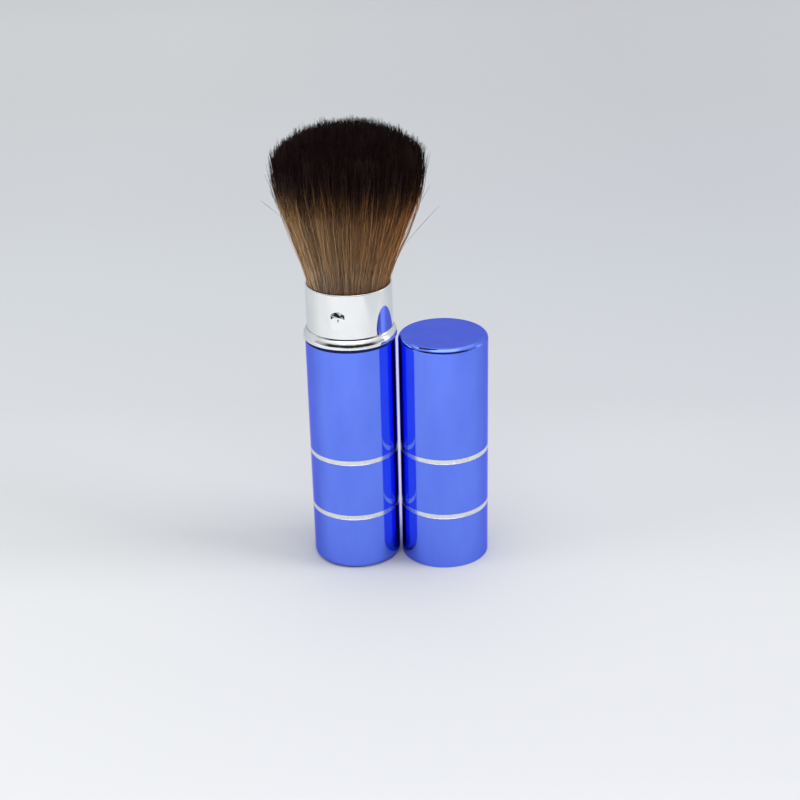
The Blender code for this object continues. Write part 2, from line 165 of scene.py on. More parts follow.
# What a hair's tone is made of: its own random part, its tuft's part, and painted light on the outer hairs
OWN_TONE_SHARE = 0.50
TUFT_TONE_SHARE = 0.34
OUTER_PAINTED_LIGHT_SHARE = 0.16

# Single hairs that stand away from the head: bearing, leaving height, leaving radius, end radius, end height
STRAYS = (
    (math.radians(-4), 0.0715, 0.0099, 0.0202, 0.0842),
    (math.radians(2), 0.0765, 0.0122, 0.0183, 0.0882),
    (math.radians(184), 0.0820, 0.0132, 0.0162, 0.0883),
    (math.radians(191), 0.0828, 0.0139, 0.0170, 0.0924),
    (math.radians(177), 0.0812, 0.0136, 0.0183, 0.0855),
    (math.radians(200), 0.0850, 0.0146, 0.0162, 0.0975),
    (math.radians(187), 0.0865, 0.0148, 0.0160, 0.0958),
    (math.radians(-12), 0.0800, 0.0131, 0.0168, 0.0905),
    (math.radians(6), 0.0780, 0.0124, 0.0166, 0.0930),
)
STRAY_RADIUS = 0.000046
STRAY_STATIONS = 12
STRAY_BEND_EXPONENT = 1.15
STRAY_TONE = 0.9

# The studio
WALL_SIDE_COLOUR = (0.84, 0.85, 0.87)
WALL_BACK_COLOUR = (0.60, 0.61, 0.66)
LOW_SIDE_COLOUR = (0.46, 0.46, 0.48)
DARK_ROOM_COLOUR = (0.030, 0.030, 0.034)
CEILING_COLOUR = (1.10, 1.11, 1.13)
PANEL_COLOUR = (1.35, 1.32, 1.32)

# Where the studio's parts fade in, from none to whole, as parts of a direction of length 1
SIDES_ALONG = (0.14, -0.02)
SIDES_HEIGHT = (0.52, 0.36)
DARK_ALONG = (-0.22, -0.64)
DARK_HEIGHT = (0.58, 0.44)
PANEL_ACROSS = (0.78, 0.86)
PANEL_HEIGHT = (0.62, 0.50)
PANEL_BACK_ALONG = (0.45, 0.15)
PANEL_FRONT_ALONG = (-0.04, 0.12)
CEILING_HEIGHT = (0.62, 0.80)

# Lamps: name, place, target, width, power, and whether the metal mirrors it
LAMPS = (
    ("overhead", (0.02, -0.32, 1.06), (0.01, 0, 0.05), 1.00, 4.2, True),
    ("left_edge", (-2.24, -0.42, 0.46), (0, 0, 0.085), 1.20, 30, False),
    ("right_edge", (2.24, -0.42, 0.46), (0, 0, 0.085), 1.20, 80, False),
)

# The floor: colours by the distance behind the brush, painted as light falling off, and a dimmer part far to
# the right
FLOOR_NEAR = -0.15
FLOOR_FAR = 1.00
FLOOR_STOPS = (
    (0.000, (0.674, 0.682, 0.688)),
    (0.056, (0.594, 0.602, 0.614)),
    (0.110, (0.577, 0.586, 0.593)),
    (0.204, (0.477, 0.490, 0.505)),
    (0.281, (0.461, 0.481, 0.499)),
    (0.376, (0.448, 0.464, 0.482)),
    (0.530, (0.456, 0.468, 0.478)),
    (0.720, (0.485, 0.495, 0.506)),
)
FLOOR_DIM_COLOUR = (0.465, 0.490, 0.510, 1.0)
FLOOR_DIM_SLANT = 0.42
FLOOR_DIM_START = 0.174
FLOOR_DIM_END = 0.188
FLOOR_HALF_SIDE = 6.0

# Meshes
MM_PER_M = 1000
ROUND_SEGMENTS = 224
ARC_STEPS = 8
SHADING_HOLD = 0.0001
SHARP_ANGLE = math.radians(32)

# The photograph's camera
CAMERA_PLACE = Vector((0.01074, -0.30939, 0.17884))
CAMERA_TARGET = Vector((0.01074, 0.0, 0.03809))
CAMERA_ROLL = math.radians(-1.32)
PICTURE_SIDE_PX = 800
FOCAL_PX = 1494
SENSOR_MM = 36


# Materials

class Shader:
    """A material's node tree, with short calls to add and join nodes."""

    def __init__(self, name):
        self.material = bpy.data.materials.new(name)
        self.material.use_nodes = True
        self.tree = self.material.node_tree
        self.surface = self.tree.nodes["Principled BSDF"]

    def node(self, kind, **settings):
        made = self.tree.nodes.new(kind)
        for key, value in settings.items():
            setattr(made, key, value)
        return made

    def join(self, source, target):
        self.tree.links.new(source, target)

    def set(self, **sockets):
        for key, value in sockets.items():
            self.surface.inputs[key.replace("_", " ")].default_value = value

    def place(self, scale=(1, 1, 1)):
        """The object's own coordinates, in metres, stretched by a scale."""
        coordinates = self.node("ShaderNodeTexCoord")
        mapping = self.node("ShaderNodeMapping")
        mapping.inputs["Scale"].default_value = scale
        self.join(coordinates.outputs["Object"], mapping.inputs["Vector"])
        return mapping.outputs["Vector"]

    def noise(self, scale, detail=3.0, stretch=(1, 1, 1), roughness=0.55):
        noise = self.node("ShaderNodeTexNoise")
        noise.inputs["Scale"].default_value = scale
        noise.inputs["Detail"].default_value = detail
        noise.inputs["Roughness"].default_value = roughness
        self.join(self.place(stretch), noise.inputs["Vector"])
        return noise.outputs["Fac"]

    def ramp(self, value, *stops):
        """A colour ramp of (place, colour) stops."""
        ramp = self.node("ShaderNodeValToRGB")
        elements = ramp.color_ramp.elements
        while len(elements) < len(stops):
            elements.new(0.5)
        for element, (position, colour) in zip(elements, stops):
            element.position = position
            element.color = (*colour, 1.0)
        self.join(value, ramp.inputs["Fac"])
        return ramp.outputs["Color"]

    def remap(self, value, low, high, to_low, to_high):
        remap = self.node("ShaderNodeMapRange")
        for key, number in (("From Min", low), ("From Max", high), ("To Min", to_low), ("To Max", to_high)):
            remap.inputs[key].default_value = number
        self.join(value, remap.inputs["Value"])
        return remap.outputs["Result"]

    def multiply(self, first, second):
        """The product of two colours."""
        mix = self.node("ShaderNodeMix", data_type="RGBA", blend_type="MULTIPLY")
        mix.inputs["Factor"].default_value = 1.0
        self.join(first, mix.inputs["A"])
        self.join(second, mix.inputs["B"])
        return mix.outputs["Result"]

    def math(self, operation, *values):
        made = self.node("ShaderNodeMath", operation=operation)
        for socket, value in zip(made.inputs, values):
            if isinstance(value, (int, float)):
                socket.default_value = value
            else:
                self.join(value, socket)
        return made.outputs["Value"]

    def bump(self, height, distance, strength=1.0, under=None):
        bump = self.node("ShaderNodeBump")
        bump.inputs["Distance"].default_value = distance
        bump.inputs["Strength"].default_value = strength
        self.join(height, bump.inputs["Height"])
        if under is not None:
            self.join(under, bump.inputs["Normal"])
        return bump.outputs["Normal"]


def anodised_blue():
    """Blue anodised aluminium, mirror-like, with faint drawing marks and handling scuffs."""
    s = Shader("anodised_blue")
    s.set(Metallic=1.0, Specular_Tint=(0.58, 0.53, 1.0, 1.0))
    dye = s.noise(260, detail=4, stretch=(1, 1, 0.35))
    blue = s.ramp(dye, (0.30, (0.142, 0.236, 0.960)), (0.72, (0.162, 0.262, 1.000)))
    s.join(blue, s.surface.inputs["Base Color"])
    scuffs = s.noise(2400, detail=6, stretch=(1, 1, 0.12), roughness=0.7)
    haze = s.noise(300, detail=2)
    rough = s.math("ADD", s.remap(scuffs, 0.56, 0.74, 0.075, 0.20), s.remap(haze, 0.3, 0.7, 0.0, 0.035))
    s.join(rough, s.surface.inputs["Roughness"])
    marks = s.noise(420, detail=3, stretch=(1, 1, 0.25))
    s.join(s.bump(marks, 0.0000010), s.surface.inputs["Normal"])
    return s.material


def cut_aluminium():
    """Bare aluminium where the bands are cut through the blue: fine turning lines and a broken sparkle."""
    s = Shader("cut_aluminium")
    s.set(Metallic=1.0)
    grain = s.noise(2600, detail=5, stretch=(1, 1, 1.8), roughness=0.7)
    grey = s.ramp(grain, (0.36, (0.60, 0.60, 0.60)), (0.56, (0.95, 0.96, 0.94)))
    s.join(grey, s.surface.inputs["Base Color"])
    s.join(s.remap(grain, 0.3, 0.7, 0.34, 0.16), s.surface.inputs["Roughness"])
    lines = s.node("ShaderNodeTexWave", bands_direction="Z")
    lines.inputs["Scale"].default_value = 900
    lines.inputs["Distortion"].default_value = 1.2
    s.join(s.place(), lines.inputs["Vector"])
    fine = s.bump(lines.outputs["Fac"], 0.0000060)
    s.join(s.bump(grain, 0.0000060, under=fine), s.surface.inputs["Normal"])
    return s.material


def bright_metal(name, waver, ripple):
    """Polished bright metal with a slight waver, a finer ripple and a few fine scratches."""
    s = Shader(name)
    s.set(Metallic=1.0, Specular_Tint=(0.86, 0.87, 0.88, 1.0))
    tone = s.noise(180, detail=3)
    silver = s.ramp(tone, (0.3, (0.850, 0.862, 0.862)), (0.7, (0.905, 0.914, 0.908)))
    s.join(silver, s.surface.inputs["Base Color"])
    scratches = s.noise(3200, detail=5, stretch=(1, 1, 0.08), roughness=0.75)
    s.join(s.remap(scratches, 0.58, 0.78, 0.045, 0.16), s.surface.inputs["Roughness"])
    wide = s.bump(s.noise(150, detail=2), waver)
    s.join(s.bump(s.noise(800, detail=2), ripple, under=wide), s.surface.inputs["Normal"])
    return s.material


def painted_seat_shade():
    """The handle's blue under the collar, a dull navy painted as the shade in the joint."""
    s = Shader("painted_seat_shade")
    s.set(Metallic=0.7, Specular_IOR_Level=0.2)
    shade_mottle = s.noise(1400, detail=4)
    navy = s.ramp(shade_mottle, (0.35, (0.010, 0.016, 0.110)), (0.65, (0.022, 0.034, 0.200)))
    s.join(navy, s.surface.inputs["Base Color"])
    s.join(s.remap(shade_mottle, 0.3, 0.7, 0.40, 0.60), s.surface.inputs["Roughness"])
    s.join(s.bump(shade_mottle, 0.000004), s.surface.inputs["Normal"])
    return s.material


def torn_metal_and_shade():
    """The cut lip of a dimple: rough torn metal with light streaks torn aslant, painted near-black as the
    shade in the cut.
    """
    s = Shader("torn_metal_and_shade")
    s.set(Metallic=0.8)
    slanted = s.node("ShaderNodeMapping", vector_type="TEXTURE")
    slanted.inputs["Rotation"].default_value = (0, math.radians(40), 0)
    slanted.inputs["Scale"].default_value = (3.2, 1, 1)
    s.join(s.place(), slanted.inputs["Vector"])
    torn = s.node("ShaderNodeTexNoise")
    torn.inputs["Scale"].default_value = 2100
    torn.inputs["Detail"].default_value = 3
    s.join(slanted.outputs["Vector"], torn.inputs["Vector"])
    specks = torn.outputs["Fac"]
    # Painted shade: the near-black stops stand for the shade in the cut under the lip.
    streaks = s.ramp(
        specks,
        (0.45, (0.008, 0.009, 0.011)),
        (0.53, (0.070, 0.075, 0.080)),
        (0.60, (0.70, 0.71, 0.73)),
    )
    s.join(streaks, s.surface.inputs["Base Color"])
    s.join(s.remap(specks, 0.3, 0.7, 0.65, 0.35), s.surface.inputs["Roughness"])
    s.join(s.bump(specks, 0.00004), s.surface.inputs["Normal"])
    return s.material


def hair_material():
    """Soft fibre: near-black brown tips and light brown below, with each hair a little unlike the next.

    The mesh's hair_place attribute gives the distance below the hair's tip in millimetres, a number from 0 to
    1 that mixes the hair's own tone with painted light on the outer hairs, and the height above the sleeve's
    rim in millimetres.
    """
    s = Shader("bristle_hair")
    attribute = s.node("ShaderNodeAttribute", attribute_name="hair_place")
    parts = s.node("ShaderNodeSeparateXYZ")
    s.join(attribute.outputs["Vector"], parts.inputs["Vector"])
    below_tip, own, above_rim = parts.outputs
    uneven = s.math("ADD", below_tip, s.remap(own, 0.0, 1.0, -2.2, 1.6))
    lengthwise = s.ramp(
        s.remap(uneven, 0.0, 24.0, 0.0, 1.0),
        (0.00, (0.0072, 0.0030, 0.0032)),
        (0.05, (0.0088, 0.0036, 0.0036)),
        (0.14, (0.0190, 0.0100, 0.0098)),
        (0.22, (0.0310, 0.0160, 0.0110)),
        (0.29, (0.0620, 0.0270, 0.0090)),
        (0.40, (0.1320, 0.0560, 0.0145)),
        (0.55, (0.2020, 0.1020, 0.0355)),
        (0.86, (0.2160, 0.1150, 0.0480)),
        (1.00, (0.2260, 0.1350, 0.0740)),
    )
    own_tone = s.ramp(own, (0.0, (0.16, 0.12, 0.10)), (0.5, (0.86, 0.82, 0.78)), (1.0, (2.60, 2.55, 2.45)))
    # Painted shade: the hairs darken towards the sleeve's rim, where the head shades its roots.
    root_shade = s.ramp(
        s.remap(above_rim, -1.0, 4.0, 0.0, 1.0),
        (0.0, (0.60, 0.57, 0.57)),
        (1.0, (1.0, 1.0, 1.0)),
    )
    s.join(s.multiply(s.multiply(lengthwise, own_tone), root_shade), s.surface.inputs["Base Color"])
    s.join(s.remap(own, 0.0, 1.0, 0.50, 0.34), s.surface.inputs["Roughness"])
    s.join(s.remap(uneven, 5.0, 10.0, 0.04, 0.40), s.surface.inputs["Specular IOR Level"])
    s.join(s.remap(uneven, 6.0, 11.0, 0.0, 0.20), s.surface.inputs["Sheen Weight"])
    s.join(s.remap(uneven, 6.0, 11.0, 0.0, 0.60), s.surface.inputs["Subsurface Weight"])
    s.set(Sheen_Roughness=0.35, Sheen_Tint=(0.90, 0.78, 0.68, 1.0))
    s.set(Subsurface_Radius=(1.0, 0.65, 0.35), Subsurface_Scale=0.00025)
    return s.material


def inner_material(name, dark, light, metallic, low_rough, high_rough, scale):
    """A plain material for the pieces inside: a cloudy colour, uneven gloss and a fine surface."""
    s = Shader(name)
    s.set(Metallic=metallic)
    cloud = s.noise(scale, detail=4)
    s.join(s.ramp(cloud, (0.3, dark), (0.7, light)), s.surface.inputs["Base Color"])
    s.join(s.remap(cloud, 0.3, 0.7, low_rough, high_rough), s.surface.inputs["Roughness"])
    s.join(s.bump(s.noise(scale * 12, detail=3), 0.000006), s.surface.inputs["Normal"])
    return s.material


# Turned metal parts

def arc(centre_r, centre_z, radius, start, end, steps=ARC_STEPS):
    """Profile points along an arc, both ends included. Angles are in degrees from the +r direction."""
    angles = np.radians(np.linspace(start, end, steps + 1))
    return [(centre_r + radius * math.cos(a), centre_z + radius * math.sin(a)) for a in angles]


def held(profile, closed):
    """The profile with a point close to each end of its long stretches.

    The points keep the smooth shading on the bends.
    """
    ends = profile[1:] + ([profile[0]] if closed else [])
    points = []
    for start, end in zip(profile, ends):
        points.append(start)
        length = math.dist(start, end)
        if length > 4 * SHADING_HOLD:
            for share in (SHADING_HOLD / length, 1 - SHADING_HOLD / length):
                points.append(tuple(a + (b - a) * share for a, b in zip(start, end)))
    return points if closed else points + [profile[-1]]


def lathe(name, profile, materials, closed=False, material_of=None, segments=ROUND_SEGMENTS):
    """Turn a profile of (radius, height) points about Z. Its outer side runs from top to bottom.

    material_of gives a face row's material from the middle of its stretch of the profile.
    """
    profile = held(profile, closed)
    verts = []
    rings = []
    for radius, height in profile:
        if radius == 0:
            rings.append([len(verts)] * segments)
            verts.append((0, 0, height))
            continue
        rings.append(list(range(len(verts), len(verts) + segments)))
        for i in range(segments):
            angle = math.tau * i / segments
            verts.append((radius * math.cos(angle), radius * math.sin(angle), height))
    faces = []
    indices = []
    rows = list(range(len(profile) - 1)) + ([len(profile) - 1] if closed else [])
    for row in rows:
        above = rings[row]
        below = rings[(row + 1) % len(rings)]
        r0, z0 = profile[row]
        r1, z1 = profile[(row + 1) % len(profile)]
        index = material_of((r0 + r1) / 2, (z0 + z1) / 2) if material_of else 0
        for i in range(segments):
            j = (i + 1) % segments
            face = [above[j], above[i], below[i], below[j]]
            face = [v for k, v in enumerate(face) if v != face[k - 1]]
            faces.append(face)
            indices.append(index)
    mesh = bpy.data.meshes.new(name)
    mesh.from_pydata(verts, [], faces)
    for material in materials:
        mesh.materials.append(material)
    mesh.polygons.foreach_set("material_index", indices)
    mesh.shade_smooth()
    mesh.set_sharp_from_angle(angle=SHARP_ANGLE)
    obj = bpy.data.objects.new(name, mesh)
    bpy.context.scene.collection.objects.link(obj)
    return obj


def band_profile(centre_z):
    """One band's shallow groove on a tube's outer side, from top to bottom."""
    top = centre_z + BAND_WIDTH / 2
    bottom = centre_z - BAND_WIDTH / 2
    floor = TUBE_RADIUS - BAND_DEPTH
    return [
        (TUBE_RADIUS, top),
        (floor, top - BAND_EDGE),
        (floor, bottom + BAND_EDGE),
        (TUBE_RADIUS, bottom),
    ]


def in_band(radius, height):
    """1, the cut metal, for a stretch of a tube's outer side that lies in a band."""
    near = min(abs(height - LOWER_BAND_Z), abs(height - UPPER_BAND_Z)) < BAND_WIDTH / 2
    return 1 if near and radius > TUBE_RADIUS - TUBE_WALL / 2 else 0


def on_handle(radius, height):
    """2, the painted shade under the collar, for a stretch of the handle's shoulder or neck."""
    return 2 if height > HANDLE_HEIGHT - SHOULDER_ROUND and radius < TUBE_RADIUS else in_band(radius, height)


def make_handle(blue, cut, seat_shade):
    bore = TUBE_RADIUS - TUBE_WALL
    inner_round = TUBE_END_ROUND - TUBE_WALL
    profile = [(0, TUBE_END)]
    profile += arc(bore - inner_round, TUBE_END + inner_round, inner_round, -90, 0, 3)
    profile += [
        (bore, HANDLE_HEIGHT - NECK_TAPER),
        (NECK_BORE, HANDLE_HEIGHT),
        (NECK_BORE, NECK_TOP),
        (NECK_RADIUS, NECK_TOP),
    ]
    shoulder_r = TUBE_RADIUS - SHOULDER_ROUND
    shoulder_turn = math.acos(1 - (TUBE_RADIUS - NECK_RADIUS) / SHOULDER_ROUND)
    shoulder_z = HANDLE_HEIGHT - SHOULDER_ROUND * math.sin(shoulder_turn)
    profile += arc(shoulder_r, shoulder_z, SHOULDER_ROUND, math.degrees(shoulder_turn), 0, 6)
    profile += band_profile(UPPER_BAND_Z) + band_profile(LOWER_BAND_Z)
    profile += arc(TUBE_RADIUS - TUBE_END_ROUND, TUBE_END_ROUND, TUBE_END_ROUND, 0, -90)
    profile.append((0, 0))
    # The shoulder and neck under the collar take the painted shade.
    obj = lathe("handle_tube", profile, [blue, cut, seat_shade], material_of=on_handle)
    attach(obj, "handle")
    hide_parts("handle_shell")


def make_cap(blue, cut):
    bore = TUBE_RADIUS - TUBE_WALL
    inner_round = TUBE_END_ROUND - TUBE_WALL
    inner_top = CAP_HEIGHT - TUBE_END
    profile = [(0, CAP_HEIGHT)]
    profile += arc(TUBE_RADIUS - TUBE_END_ROUND, CAP_HEIGHT - TUBE_END_ROUND, TUBE_END_ROUND, 90, 0)
    profile += band_profile(UPPER_BAND_Z) + band_profile(LOWER_BAND_Z)
    profile += arc(TUBE_RADIUS - TUBE_LIP_ROUND, TUBE_LIP_ROUND, TUBE_LIP_ROUND, 0, -90, 3)
    profile += arc(bore + TUBE_LIP_ROUND, TUBE_LIP_ROUND, TUBE_LIP_ROUND, -90, -180, 3)
    profile += arc(bore - inner_round, inner_top - inner_round, inner_round, 0, 90, 3)
    profile.append((0, inner_top))
    obj = lathe("cap_tube", profile, [blue, cut], material_of=in_band)
    obj.location = (CAP_CENTRE.x, CAP_CENTRE.y, 0)
    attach(obj, "cap")
    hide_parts("cap_shell")


def make_collar(bright):
    """The ring at the handle's mouth: one full bead under a thin lip that leans in to the sleeve."""
    bead_r = COLLAR_RADIUS - COLLAR_BEAD_RADIUS
    bead = arc(bead_r, COLLAR_BEAD_Z, COLLAR_BEAD_RADIUS, COLLAR_BEAD_TOP_TURN, -COLLAR_BEAD_FOOT_TURN, 24)
    lip_underside = NECK_TOP + TUBE_LIP_ROUND
    profile = [
        (COLLAR_LIP_BORE, COLLAR_TOP),
        (COLLAR_LIP_BORE + COLLAR_LIP_EDGE, COLLAR_TOP),
    ]
    profile += bead
    profile += [
        (COLLAR_BORE, bead[-1][1]),
        (COLLAR_BORE, lip_underside),
        (COLLAR_LIP_BORE, lip_underside),
    ]
    obj = lathe("collar_ring", profile, [bright], closed=True)
    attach(obj, "handle")
    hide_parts("collar")


def dimple_press(x, y, z):
    """How far a point of the sleeve's wall is pressed in, and whether it is on a dimple's torn lip, which is
    painted dark as shade.

    A dimple is steepest under its arched upper edge and fades out below. The lip follows the arch, and a
    short crack, also painted dark as shade, runs down from its middle.
    """
    half_turn = DIMPLE_WIDTH / 2 / SLEEVE_RADIUS
    for i in range(DIMPLE_COUNT):
        bearing = DIMPLE_BEARING + math.tau * i / DIMPLE_COUNT
        side = ((math.atan2(y, x) - bearing + math.pi) % math.tau - math.pi) / half_turn
        if abs(side) >= 1:
            continue
        under = RIM_Z - DIMPLE_TOP_BELOW_RIM - DIMPLE_ARCH_DROP * side * side - z
        reach = DIMPLE_HEIGHT - DIMPLE_ARCH_DROP * side * side
        if not 0 < under < reach:
            continue
        lip = DIMPLE_LIP_HEIGHT * (1 - DIMPLE_LIP_NARROWING * side * side)
        steep = min(under / lip, 1)
        fade = 1 - max(under - lip, 0) / (reach - lip)
        cracked = abs(side) < DIMPLE_CRACK_SIDE and DIMPLE_CRACK_START < under - lip < DIMPLE_CRACK_END
        pressed = DIMPLE_DEPTH * (1 - side * side) ** DIMPLE_SIDE_EXPONENT * steep ** DIMPLE_STEEP_EXPONENT
        return pressed * fade ** DIMPLE_FADE_EXPONENT, under < lip or cracked
    return 0.0, False


def make_sleeve(bright, torn):
    half_wall = SLEEVE_WALL / 2
    bore = SLEEVE_RADIUS - SLEEVE_WALL
    dimple_top = RIM_Z - DIMPLE_TOP_BELOW_RIM
    rows = np.linspace(dimple_top, dimple_top - DIMPLE_HEIGHT, DIMPLE_ROWS + 1)
    roll_r = SLEEVE_RADIUS - RIM_ROLL_RADIUS
    roll_z = RIM_Z - RIM_ROLL_RADIUS
    profile = arc(roll_r, roll_z, RIM_ROLL_RADIUS, 90, 0, 8)
    profile += [(SLEEVE_RADIUS, z) for z in rows]
    profile += arc(SLEEVE_RADIUS - SLEEVE_WALL, SLEEVE_BOTTOM + SLEEVE_WALL, SLEEVE_WALL, 0, -90, 4)
    profile += [
        (bore - SLEEVE_ROLL, SLEEVE_BOTTOM),
        (bore - SLEEVE_ROLL, SLEEVE_BOTTOM + SLEEVE_WALL),
        (bore, SLEEVE_BOTTOM + SLEEVE_WALL),
    ]
    profile += [(bore, z) for z in rows[::-1]]
    profile.append((bore, roll_z - RIM_ROLL_RADIUS))
    profile += arc(roll_r, roll_z, RIM_ROLL_RADIUS, 195, 105, 6)
    obj = lathe("bright_sleeve", profile, [bright, torn], closed=True, segments=2 * ROUND_SEGMENTS)
    mesh = obj.data
    # The torn lip and its crack take the torn metal, painted dark as the shade in the cut.
    for polygon in mesh.polygons:
        x, y, z = polygon.center
        if math.hypot(x, y) > SLEEVE_RADIUS - half_wall and dimple_press(x, y, z)[1]:
            polygon.material_index = 1
    for vertex in mesh.vertices:
        x, y, z = vertex.co
        pressed = dimple_press(x, y, z)[0]
        if pressed > 0:
            scale = 1 - pressed / math.hypot(x, y)
            vertex.co = (x * scale, y * scale, z)
    mesh.set_sharp_from_angle(angle=SHARP_ANGLE)
    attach(obj, "sleeve")
    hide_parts("sliding_sleeve")


# Bristles

def head_radius_at(height):
    """The bundle's outer radius at heights: straight in the sleeve, flared above its rim."""
    inside = np.clip((height - ROOT_Z) / (RIM_Z - ROOT_Z), 0, 1)
    above = (np.clip(height - RIM_Z, 0, None) / FLARE_RISE) ** FLARE_EXPONENT
    flare = (above - np.hypot(above - 1, FLARE_SOFTNESS) + math.hypot(1, FLARE_SOFTNESS)) / 2
    straight = BUNDLE_RADIUS + (MOUTH_RADIUS - BUNDLE_RADIUS) * inside
    return straight + (HEAD_RADIUS - MOUTH_RADIUS) * flare


def sunflower(count):
    """Even places in a unit disc."""
    index = np.arange(count)
    spread = np.sqrt((index + 0.5) / count)
    bearing = index * math.pi * (3 - math.sqrt(5))
    return spread, bearing


def tubes_mesh(name, paths, radii, places, material):
    """One mesh of three-sided tapered tubes. paths is (hair, station, xyz), radii (hair, station)."""
    hairs, stations = radii.shape
    along = np.gradient(paths, axis=1)
    along /= np.linalg.norm(along, axis=2, keepdims=True)
    side = np.cross(along, np.array([0.0, 1.0, 0.0]))
    side /= np.linalg.norm(side, axis=2, keepdims=True)
    across = np.cross(along, side)
    corners = []
    for k in range(HAIR_SIDES):
        turn = math.tau * k / HAIR_SIDES
        corners.append(paths + radii[..., None] * (side * math.cos(turn) + across * math.sin(turn)))
    points = np.stack(corners, axis=2)
    base = (np.arange(hairs)[:, None, None] * stations + np.arange(stations - 1)[None, :, None]) * HAIR_SIDES
    k = np.arange(HAIR_SIDES)[None, None, :]
    following = (k + 1) % HAIR_SIDES
    above = base + HAIR_SIDES
    quads = np.stack([base + k, base + following, above + following, above + k], axis=-1).reshape(-1, 4)
    foot = np.arange(hairs)[:, None] * stations * HAIR_SIDES
    feet = foot + np.arange(HAIR_SIDES)[::-1][None, :]
    tips = foot + (stations - 1) * HAIR_SIDES + np.arange(HAIR_SIDES)[None, :]
    faces = quads.tolist() + feet.tolist() + tips.tolist()
    mesh = bpy.data.meshes.new(name)
    mesh.from_pydata(points.reshape(-1, 3).tolist(), [], faces)
    attribute = mesh.attributes.new("hair_place", "FLOAT_VECTOR", "POINT")
    spread_places = np.repeat(places[:, :, None, :], HAIR_SIDES, axis=2)
    attribute.data.foreach_set("vector", spread_places.astype(np.float32).ravel())
    mesh.materials.append(material)
    mesh.shade_smooth()
    obj = bpy.data.objects.new(name, mesh)
    bpy.context.scene.collection.objects.link(obj)
    return obj


